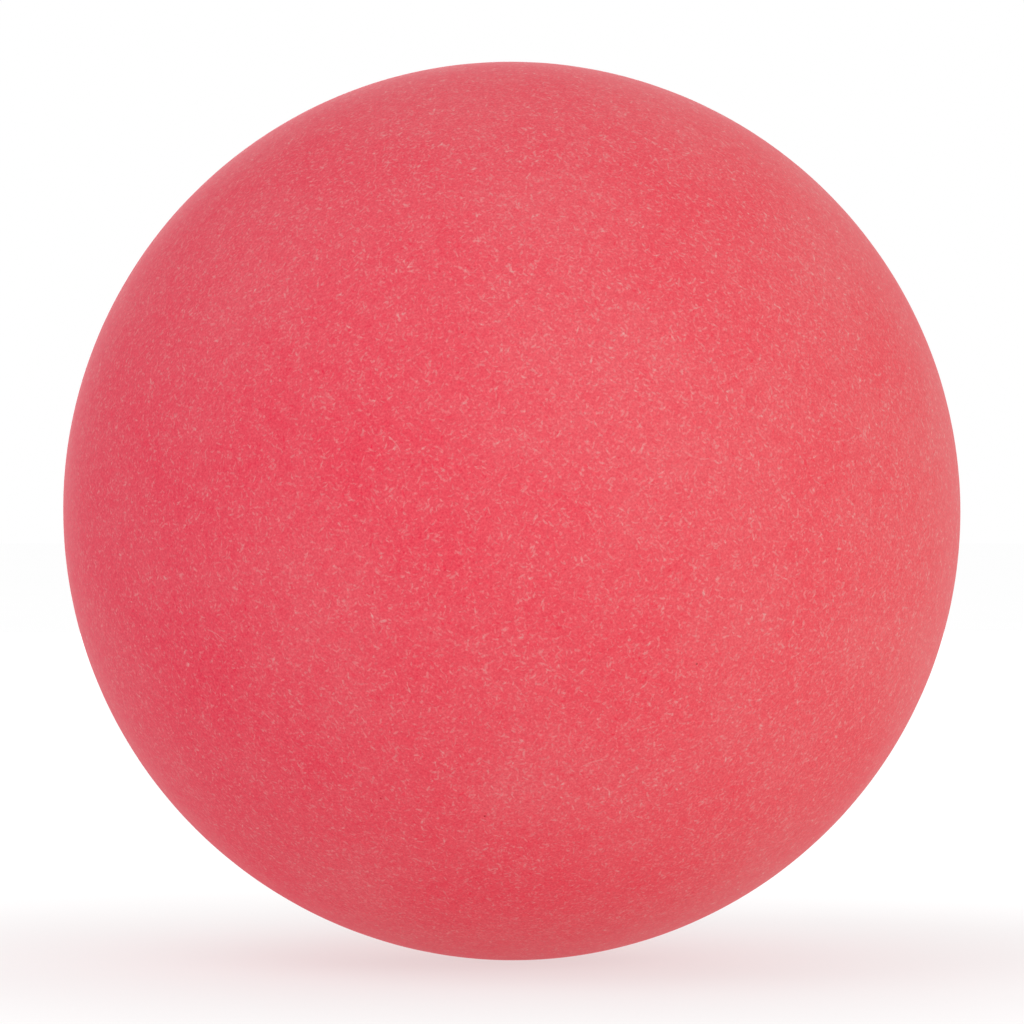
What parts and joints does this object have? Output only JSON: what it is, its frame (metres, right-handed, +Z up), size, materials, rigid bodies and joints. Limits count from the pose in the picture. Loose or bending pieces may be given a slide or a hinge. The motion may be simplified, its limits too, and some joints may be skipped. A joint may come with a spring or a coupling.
{
  "type": "pickleball",
  "caption": "Plain round pickleball without holes: a soft foam core in a thin matt coral-red cover, moulded in halves that are bonded rim to rim and ground all over.",
  "frame": {"origin": "the ball's centre", "axes": "+Z up, +Y from the front half of the cover to the rear half and the axis of the seam between them, +X to the right of a person who looks along +Y"},
  "size_m": [0.074, 0.074, 0.074],
  "materials": {
    "cover_elastomer": "matte, ground to a fine short nap",
    "bond_compound": "matte, ground flush",
    "core_foam": "matte closed-cell foam"
  },
  "bodies": {
    "root": {"foam_core": "core_foam", "front_cover": "cover_elastomer", "rear_cover": "cover_elastomer", "seam_bond": "bond_compound"}
  },
  "joints": []
}
